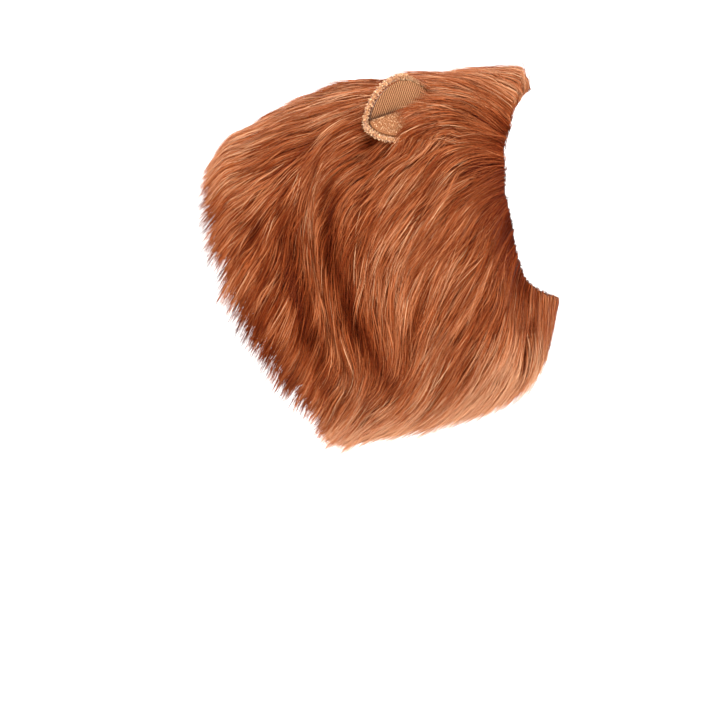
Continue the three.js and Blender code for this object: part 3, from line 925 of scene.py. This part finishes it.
def lining_material():
    """A ribbed knit, its ribs broken into stitches: smoother below the crease, with painted shade in it.
    """
    material, tree, _ = new_material("ribbed_lining", 0.95, 0.15)
    x, _, z = coordinates(tree)
    wander = noise(tree, 90)
    most, least = LINING_SLANT
    aside = x * most + z * least + wander * 0.0022
    down = z * -most + x * least + wander * 0.006
    knit = down.wave(1 / LINING_STITCH) * 0.1 + aside.wave(1 / LINING_RIB)
    above = attribute(tree, "above") * 0.4 + 0.08
    height = noise(tree, 800) * 0.2 + (knit * above * 0.9 + 0.42)
    colors = height.colored((0.0, srgb(70, 34, 18)), (0.5, srgb(136, 85, 52)), (1.0, srgb(196, 142, 100)))
    # Painted shade: the fold mask blends a near-black brown into the lining along the crease, where shadow
    # falls.
    fold = attribute(tree, "fold") * 0.88
    colors = blended(tree, "MIX", fold.socket, colors, srgb(42, 18, 6))
    return surfaced(material, colors, height, 0.0009, smooth=0.8, rough=1.0)


def ear_rim(side, name, plush, loops):
    """The bead along an ear's edge and the loops of yarn on it, where no hair covers it."""
    line, outward, normal = ear_edge(side, RIM_STEPS)
    turn = np.linspace(0, 2 * math.pi, RIM_SIDES, endpoint=False)
    core = EAR_RIM_RADIUS * RIM_CORE
    rings = (
        line[:, None]
        + outward[:, None] * (core * np.cos(turn))[None, :, None]
        + normal[:, None] * (core * np.sin(turn))[None, :, None]
    )
    bead = (rings.reshape(-1, 3), net(RIM_STEPS, RIM_SIDES))
    rim = mesh_object(f"ear_rim_bead_{name}", plush, *bead)
    belongs(rim, "ear_plush", f"ear_rim_{name}")

    bare = np.flatnonzero(line[:, 0] < covered_to(line[:, 2]) + 2)
    where = random.choice(bare, RIM_LOOPS)
    spin = random.uniform(0, 2 * math.pi, RIM_LOOPS)
    out = outward[where] * np.cos(spin)[:, None] + normal[where] * np.sin(spin)[:, None]
    tangent = unit(np.gradient(line, axis=0))[where]
    slid = tangent * random.uniform(-0.8, 0.8, RIM_LOOPS)[:, None]
    radial = unit(np.cross(tangent, out)) * np.where(random.random(RIM_LOOPS) < 0.5, -1, 1)[:, None]
    strips = loops_on(line[where] + slid + out * EAR_RIM_RADIUS * 0.45, out, radial, RIM_LOOP_RADIUS)
    fuzz = mesh_object(f"ear_rim_loops_{name}", loops, *strips)
    belongs(fuzz, "ear_plush", f"ear_rim_{name}")
    return bead


def ear_nap(side, name, loops):
    """Short loops on the lining's lower part, under the crease."""
    at = random.uniform(0.35, 0.97, LINING_LOOPS)
    over = random.uniform(-0.96, EAR_CREASE - 0.14, LINING_LOOPS)
    normal = ear_normal(side, at, over)
    seat = ear_point(side, at, over) + normal * (SEAT_GAP + EAR_LINING_WALL)
    aside = unit(random.normal(0, 1, (LINING_LOOPS, 3)))
    strips = loops_on(seat, normal, aside, LINING_LOOP_RADIUS)
    nap = mesh_object(f"ear_lining_nap_{name}", loops, *strips)
    belongs(nap, "ear_lining", f"ear_lining_{name}")
    return nap


def ears():
    ear_maps = {}
    plush = plush_material("ear_plush", srgb(186, 132, 90), srgb(120, 72, 42))
    lining = lining_material()
    loops = loop_material()
    for name, side in (("right", -1), ("left", 1)):
        back_shape = ear_shell(side, -EAR_BACK_WALL, 0)[:2]
        back = mesh_object(f"ear_back_plush_{name}", plush, *back_shape)
        belongs(back, "ear_plush", f"ear_back_{name}")

        *cup_shape, over = ear_shell(side, SEAT_GAP, SEAT_GAP + EAR_LINING_WALL)
        cup = mesh_object(f"ear_lining_knit_{name}", lining, *cup_shape)
        give(cup.data, "above", smoothstep(over, EAR_CREASE - 0.15, EAR_CREASE))
        # The fold mask marks where painted shade darkens the lining along the crease.
        give(cup.data, "fold", bell(over - EAR_CREASE + 0.03, 0.1))
        belongs(cup, "ear_lining", f"ear_lining_{name}")

        bead_shape = ear_rim(side, name, plush, loops)
        nap = ear_nap(side, name, loops)
        ear_maps[side] = EarMap(side, [back_shape, cup_shape, bead_shape])
    return ear_maps


class EarMap:
    """Heights of one ear over a plane through its root: its top and its underside, both smoothed."""

    CELL = 2.0
    SIZE = 80
    FAR = 90
    NEAR = (-60, 80)
    SPREAD = 2.2

    def __init__(self, side, shapes):
        self.root, self.outward, back, _ = ear_frame(side)
        self.aside = np.cross(self.outward, back)
        self.back = np.cross(self.aside, self.outward)
        self.trees = [
            BVHTree.FromPolygons([tuple(v) for v in vertices], [tuple(q) for q in quads.tolist()])
            for vertices, quads in shapes
        ]
        top, bottom, cover = np.zeros((3, self.SIZE, self.SIZE))
        for i in range(self.SIZE):
            for j in range(self.SIZE):
                gone = self.back * (i - self.SIZE / 2) + self.aside * (j - self.SIZE / 2)
                foot = self.root + gone * self.CELL
                down = self.nearest(foot, 1)
                if down is None:
                    continue
                up = self.nearest(foot, -1)
                top[i, j] = self.FAR - down
                bottom[i, j] = top[i, j] if up is None else up - self.FAR
                cover[i, j] = 1
        self.cover = self.blurred(cover)
        filled = np.maximum(self.cover, 1e-3)
        self.top = np.where(self.cover > 0.02, self.blurred(top * cover) / filled, 0)
        self.bottom = np.where(self.cover > 0.02, self.blurred(bottom * cover) / filled, 0)

    def nearest(self, foot, way):
        """How far the ear is from a far point over (1) or under (-1) a foot on the plane."""
        start = Vector(foot + self.outward * (self.FAR * way))
        found = [tree.ray_cast(start, Vector(-self.outward * way))[3] for tree in self.trees]
        return min((distance for distance in found if distance is not None), default=None)

    def blurred(self, values):
        weights = np.exp(-0.5 * (np.arange(-5, 6) / self.SPREAD) ** 2)
        weights /= weights.sum()
        for _ in range(2):
            values = np.apply_along_axis(lambda row: np.convolve(row, weights, mode="same"), 0, values)
            values = values.T
        return values

    def cell_of(self, distance):
        return np.clip(np.round(distance / self.CELL + self.SIZE / 2).astype(int), 0, self.SIZE - 1)

    def at(self, points):
        """For points: their height over the plane, the ear's top, underside and how covered they are."""
        gone = points - self.root
        cells = self.cell_of(gone @ self.back), self.cell_of(gone @ self.aside)
        height = gone @ self.outward
        beside = (height > self.NEAR[0]) & (height < self.NEAR[1])
        return height, self.top[cells], self.bottom[cells], np.where(beside, self.cover[cells], 0)


def under_ears(points, ear_maps):
    """Presses points down out of an ear, and fills the wedge under its base up to it."""
    for ear in ear_maps.values():
        height, _, bottom, cover = ear.at(points)
        press = np.minimum(bottom - EAR_CLEAR - height, 0) * smoothstep(cover, 0.05, 0.4)
        behind = (points - ear.root) @ ear.back
        fill = np.maximum(bottom - FILL_CLEAR - height, 0) * smoothstep(cover, 0.15, 0.5)
        fill = fill * (1 - smoothstep(behind, *FILL_RUN))
        points = points + (press + fill)[:, None] * ear.outward
    return points


# The long fur.
def scattered_roots(count):
    """Roots spread evenly over the hood, denser near the ears and sparser where none is seen."""
    tries = count * 4
    along = random.uniform(0, 1, tries)
    angle = random.uniform(-math.pi, math.pi, tries)
    points, slope_along, slope_round, _ = hood_frame(along, angle)
    area = np.linalg.norm(np.cross(slope_along, slope_round), axis=-1)
    unseen = smoothstep(-np.cos(angle), 0.75, 0.95) * smoothstep(along, 0.25, 0.5)
    at_ears = sum(bell(np.linalg.norm(points - ear_frame(side)[0], axis=-1), 36) for side in (-1, 1))
    wanted = area / np.quantile(area, 0.98) * (1 - 0.5 * unseen) * (0.75 + 0.6 * at_ears)
    kept = random.uniform(0, 1, tries) < wanted
    return along[kept][:count], angle[kept][:count]


def covered_to(z):
    """How far back the hair over an ear's base reaches at a height."""
    rows_z = np.array([row["z"] for row in EAR_COVER])
    return np.interp(z, rows_z, np.array([row["x"] for row in EAR_COVER]))


def round_ears(paths, ear_maps):
    """Lets hairs pass over an ear's base and end there, or pass below the ear."""
    count, steps, _ = paths.shape
    kept = np.ones(count, dtype=bool)
    whole = np.arange(steps)
    from_front = paths[:, 0, 0] > covered_to(paths[:, 0, 2]) + 4
    over = random.uniform(1.0, 5.0, count)
    slack = random.normal(0, 3.5, count)
    for ear in ear_maps.values():
        found = ear.at(paths.reshape(-1, 3))
        height, top, bottom, cover = (values.reshape(count, steps) for values in found)
        lift = np.maximum(top + over[:, None] - height, 0) * smoothstep(cover, 0.02, 0.45)
        press = np.minimum(bottom - 3 - height, 0) * smoothstep(cover, 0.2, 0.55)
        moved = np.where(from_front[:, None], lift, press)
        paths = paths + moved[..., None] * ear.outward
        crossing = from_front & (cover.max(axis=1) > 0.3)
        past = (paths[..., 0] < covered_to(paths[..., 2]) + slack[:, None]) & (cover > 0.3)
        for i in np.flatnonzero(crossing & past.any(axis=1)):
            ends = int(np.argmax(past[i]))
            kept[i] = kept[i] and ends >= 2
            share = np.linspace(0, max(ends, 1), steps)
            paths[i] = np.stack([np.interp(share, whole, paths[i, :, axis]) for axis in range(3)], axis=-1)
    return paths, kept


def sprung(paths, amount):
    """Lets the tips run straighter on than the hood curves, so that they stand off it."""
    middle = paths.shape[1] // 2
    step = paths[:, middle] - paths[:, middle - 1]
    for k in range(middle + 1, paths.shape[1]):
        straight = paths[:, middle] + step * (k - middle)
        paths[:, k] += (straight - paths[:, k]) * amount[:, None]
    return paths


def long_fur(ear_maps, material):
    """The long hair of the whole hood, in pieces. The first hairs are the fringe of the hem."""
    along, angle = scattered_roots(STRANDS)
    count = len(along)
    at_hem = np.arange(count) < HEM_STRANDS
    along = np.where(at_hem, 1.01 - 0.07 * random.random(count) ** 1.5, along)
    angle = np.where(at_hem, random.uniform(-math.pi, math.pi, count), angle)
    roots, root_normals = over_cloth(along, angle, np.full(count, 0.8))
    locks = Groups(roots, LOCKS)
    wisps = Groups(roots, WISPS)
    of_wisp = wisps.uniform(0, 1)
    turned = varied(SPREADS["turn"], locks, wisps)
    length = STRAND_LENGTH * random.uniform(0.7, 1.15, count) * wisps.uniform(0.85, 1.1)
    reach = wisps.uniform(14, 36) + random.uniform(-9, 9, count)
    length = held_at_hem(along, angle, turned, length, reach)

    # How high over the cloth the hairs end and start, as shares of the pile.
    edge_run = along * TOP_RUN
    under = smoothstep(-root_normals[:, 2], 0.45, 0.85)
    under_front = under * smoothstep(roots[:, 0], -60, 30)
    crown = smoothstep(np.cos(angle), 0.75, 0.95)
    dips = 0.26 * bell(roots[:, 0] + 30, 28) + 0.1 * bell(roots[:, 0] - 42, 30)
    jaw = smoothstep(np.abs(angle), 2.3, 2.8)
    near_edge = (1 - smoothstep(edge_run, 0, 30)) * smoothstep(np.abs(angle), 0.35, 0.8)
    high = np.clip(0.9 + varied(SPREADS["height"], locks, wisps), 0.6, 1.14)
    high = high * (1 - 0.34 * under_front) * (1 - crown * dips) * (1 - mix(0.55, 0.2, jaw) * near_edge)
    high = high * np.where(at_hem, random.uniform(0.25, 0.95, count), 1)
    low = high * np.where(at_hem, 0.25, 0.5)
    feather = under * smoothstep(of_wisp, 0.75, 1)
    droop = 7 * of_wisp**2 + random.uniform(0, 3, count) + 10 * feather * random.uniform(0.3, 1, count)

    # The hairs, gathered into locks and wisps.
    paths, normals, tone = grow(along, angle, turned, length, low, high, droop, STRAND_POINTS)
    paths = locks.gathered(paths, 0.1, 1.5)
    hem = smoothstep(along, 0.78, 0.95)
    paths = wisps.gathered(paths, wisps.uniform(0.1, 0.58) * (1 - 0.4 * hem), 1.1)
    paths = wisps.waved(paths, normals, random.uniform(0.3, 1.7, count), random.uniform(0.4, 1.0, count))
    sink = 3 * smoothstep(locks.off, 5, 20)
    paths = paths - normals * sink[:, None, None] * np.linspace(0.3, 1, STRAND_POINTS)[None, :, None]
    paths = sprung(paths, random.uniform(0, 0.22, count) + 0.6 * under * of_wisp)

    # Their tones: lighter at the brow, on the crown and low down, with single dark hairs.
    own = varied(SPREADS["tone"], locks, wisps) + 0.6 * np.minimum(high - 0.92, 0.12) + 0.1 * near_edge
    own = own + np.where(random.random(count) < 0.14, -0.22, 0.04)
    brow = crown * (1 - smoothstep(edge_run, 30, 90))
    low_down = smoothstep(-roots[:, 2], 190, 250)
    own = own + 0.02 + 0.1 * brow + 0.09 * crown + 0.26 * under + 0.12 * low_down
    own = own + 0.07 * low_down * random.normal(0, 1, count)
    tone = tone + own[:, None] + (0.2 * under)[:, None] * np.linspace(0, 1, STRAND_POINTS) ** 2
    tone = np.clip(tone, 0, LIGHTEST_TONE)
    width = random.uniform(0.45, 0.95, count)
    roll = random.normal(0, 0.8, count)
    paths, kept = round_ears(paths, ear_maps)

    region = np.where(along < CHEEKS_RUN, REGIONS["mane_cheeks"], REGIONS["mane_cape"])
    beneath = np.where(along < BIB_RUN, REGIONS["mane_bib"], REGIONS["mane_under"])
    region = np.where(np.cos(angle) < UNDER_FROM, beneath, region)
    region = np.where(np.cos(angle) > CROWN_FROM, REGIONS["mane_crown"], region)
    pieces = []
    for name, number in REGIONS.items():
        chosen = kept & (region == number)
        strips = ribbons(paths[chosen], normals[chosen], width[chosen], tone[chosen], roll[chosen])
        piece = mesh_object(name, material, *strips)
        belongs(piece, "mane_fur", "mane_fur")
        pieces.append(piece)
    return pieces


def edge_roll(angle):
    """How far ahead of the cloth the hair may roll: a tuft over the brow, hardly any elsewhere."""
    return from_table(EDGE_ROLL, "degrees", "ahead", np.degrees(np.abs(angle)))


def rolled_out(root_angle, angle, start, reach, brow):
    """The first stretch of the edge hairs: ahead of the face edge and back up over it."""
    zero = np.zeros(len(angle))
    paths, normals = [], []
    for row in ROLL:
        ahead = reach * mix(row["ahead"], row["tuft_ahead"], brow)
        here = mix(root_angle, angle, row["share"])
        point, slope_along, _, normal = hood_frame(zero, here)
        forward = -unit(slope_along)
        lift = pile(zero, here) * start * mix(row["lift"], row["tuft_lift"], brow)
        lift = BACKING_WALL + SEAT_GAP + lift
        paths.append(point + forward * ahead[:, None] + normal * lift[:, None])
        normals.append(unit(forward * (1 - row["share"]) + normal * (row["share"] + 0.1)))
    return np.stack(paths, axis=1), np.stack(normals, axis=1)


def eased(values):
    """Rounds off a row of values, but not its two ends."""
    return (values[:, :-2] + 2 * values[:, 1:-1] + values[:, 2:]) / 4


def face_edge_fur(material):
    """Hair that starts under the face edge and sweeps back on to the hood, with the brow's tuft."""
    count = EDGE_STRANDS
    root_angle = random.uniform(-math.pi, math.pi, count)
    extra = random.random(count) < 0.12
    root_angle = np.where(extra, random.normal(0, 0.35, count), root_angle)
    zero = np.zeros(count)
    wisps = Groups(hood_point(zero, root_angle), EDGE_WISPS)
    upper = smoothstep(np.cos(root_angle), -0.35, 0.3)
    along_edge = -np.sign(root_angle) * upper * random.uniform(3, 16, count)
    slope_round = hood_frame(zero, root_angle)[2]
    angle = root_angle + along_edge / np.linalg.norm(slope_round, axis=-1)
    angle = np.where(np.sign(angle) == np.sign(root_angle), angle, random.normal(0, 0.05, count))
    brow = 1 - smoothstep(np.abs(root_angle), 0.3, 0.9)
    turned = varied(EDGE_SPREADS["turn"], wisps)
    high = np.clip(0.95 + varied(EDGE_SPREADS["height"], wisps), 0.6, 1.2)
    reach_share = wisps.uniform(0.2, 0.9) * random.uniform(0.5, 1.25, count)
    at_cheek, at_brow = random.uniform(0.82, 1.1, count), random.uniform(0.62, 1.14, count)
    start = high * mix(0.5, 0.94, brow) * mix(at_cheek, at_brow, brow) * (1 - 0.4 * brow * reach_share**2)
    start = start * np.where(wisps.uniform(0, 1) < 0.1, mix(1, 1.22, brow), 1)
    length = random.uniform(30, 66, count)
    end = high * mix(0.88, 0.8, brow)
    paths, normals, tone = grow(zero + 0.02, angle, turned, length, start, end, zero, EDGE_POINTS)
    stray = np.where(random.random(count) < 0.14, random.uniform(1, 4.5, count), 0) * (1 - brow)
    reach = edge_roll(root_angle) * reach_share + stray
    roll_paths, roll_normals = rolled_out(root_angle, angle, start, reach, brow)
    paths = np.concatenate([roll_paths, paths], axis=1)
    normals = np.concatenate([roll_normals, normals], axis=1)
    for _ in range(2):
        paths[:, 1:-1] = eased(paths)
        normals[:, 1:-1] = unit(eased(normals))
    paths = wisps.gathered(paths, wisps.uniform(0.1, 0.45), 1.0)
    paths = wisps.waved(paths, normals, random.uniform(0.2, 1.6, count), random.uniform(0.5, 1.0, count))
    own = varied(EDGE_SPREADS["tone"], wisps) + 0.12 * brow
    tone = np.concatenate([np.repeat(tone[:, :1], len(ROLL), axis=1), tone], axis=1) + own[:, None]
    width = random.uniform(0.4, 0.85, count)
    strips = ribbons(paths, normals, width, np.clip(tone, 0, 1), random.normal(0, 0.6, count))
    piece = mesh_object("mane_face_edge", material, *strips)
    belongs(piece, "mane_fur", "mane_fur")
    return piece


def lamps():
    """Soft lamps round the hood, and an even white world."""
    scene = bpy.context.scene
    world = bpy.data.worlds.new("studio")
    scene.world = world
    world.use_nodes = True
    background = world.node_tree.nodes["Background"]
    background.inputs["Color"].default_value = (1, 1, 1, 1)
    background.inputs["Strength"].default_value = WORLD_STRENGTH
    for name, place, size, power in LAMPS:
        light = bpy.data.lights.new(name, "AREA")
        light.size = size
        light.energy = power
        lamp = bpy.data.objects.new(name, light)
        scene.collection.objects.link(lamp)
        lamp.location = place
        lamp.rotation_euler = (LAMP_AIM - Vector(place)).to_track_quat("-Z", "Y").to_euler()


def studio():
    """A pale floor that curves up into a pale wall all round."""
    bend = ROOM_RADIUS - ROOM_CORNER
    profile = [(0, 0), (ROOM_MIDDLE, 0), (bend, 0)]
    for turn in np.linspace(0, math.pi / 2, 9)[1:]:
        profile.append((bend + ROOM_CORNER * math.sin(turn), ROOM_CORNER * (1 - math.cos(turn))))
    profile.append((ROOM_RADIUS, ROOM_HEIGHT))
    turn = np.linspace(0, 2 * math.pi, ROOM_SIDES, endpoint=False)
    rings = []
    for radius, height in profile:
        radius = max(radius, 1)
        level = np.full(ROOM_SIDES, FLOOR_HEIGHT + height)
        rings.append(np.stack([radius * np.cos(turn), radius * np.sin(turn), level], axis=-1))
    material, _, shader = new_material("pale_floor", 0.8, 0.5)
    shader.inputs["Base Color"].default_value = (0.9, 0.9, 0.9, 1)
    shader.inputs["Emission Color"].default_value = (1, 1, 1, 1)
    shader.inputs["Emission Strength"].default_value = 0.42
    quads = net(len(rings), ROOM_SIDES)[:, ::-1]
    floor = mesh_object("floor", material, np.concatenate(rings), quads)


def photo_camera():
    scene = bpy.context.scene
    camera_data = bpy.data.cameras.new("camera")
    camera = bpy.data.objects.new("camera", camera_data)
    scene.collection.objects.link(camera)
    scene.camera = camera
    camera_data.sensor_width = SENSOR
    camera_data.lens = LENS
    elevation = math.radians(CAMERA_DEGREES)
    from_side = Vector((0, -math.cos(elevation), math.sin(elevation)))
    camera.location = CAMERA_AIM + from_side * CAMERA_DISTANCE
    camera.rotation_euler = (CAMERA_AIM - camera.location).to_track_quat("-Z", "Y").to_euler()
    scene.view_settings.view_transform = "Standard"


photo_camera()
lamps()
studio()
knit = backing()
elastic = casing()
ear_maps = ears()
wool = shaded_undercoat(ear_maps)
hair = hair_material()
fur = long_fur(ear_maps, hair)
fur.append(face_edge_fur(hair))
